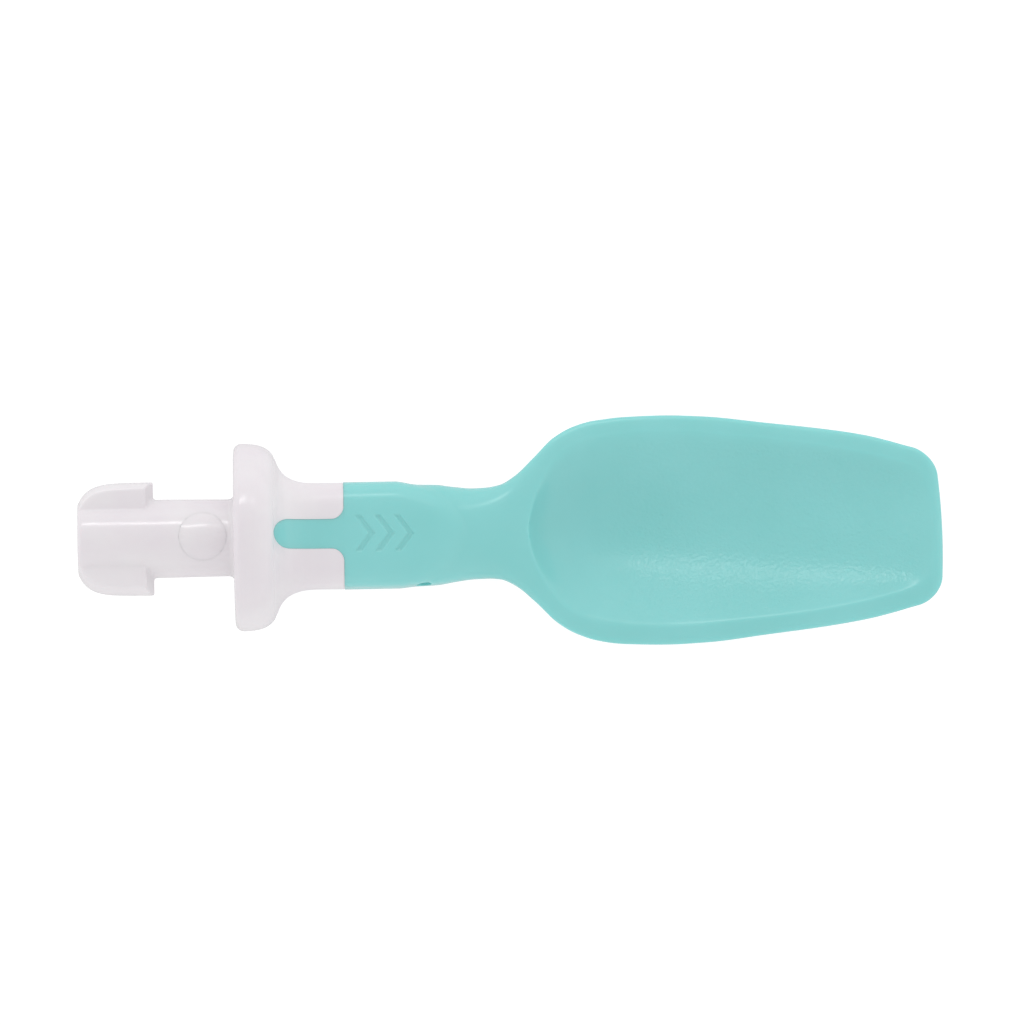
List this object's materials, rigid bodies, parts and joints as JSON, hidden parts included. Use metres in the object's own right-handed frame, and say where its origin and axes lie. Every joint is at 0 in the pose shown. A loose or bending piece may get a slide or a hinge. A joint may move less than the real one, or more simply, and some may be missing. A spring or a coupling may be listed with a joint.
{
  "type": "spoon tip attachment",
  "caption": "Soft feeding-spoon tip for a hand-held oral-motor vibrator: rigid bayonet plug with a round collar, overmoulded flexible neck and deep tapered bowl.",
  "frame": {"origin": "centre of the plug's flat end face, on the shaft's axis", "axes": "+X along the shaft from the plug to the spoon's tip, +Z out of the spoon's open side, Y across the bowl"},
  "size_m": [0.0881, 0.0234, 0.0192],
  "materials": {
    "white_plastic": "glossy, faint orange peel",
    "plug_plastic": "glossy",
    "soft_teal": "satin, fine grain"
  },
  "bodies": {
    "root": {"connector": "white_plastic", "shaft_plug": "plug_plastic", "spoon": "soft_teal"}
  },
  "joints": []
}
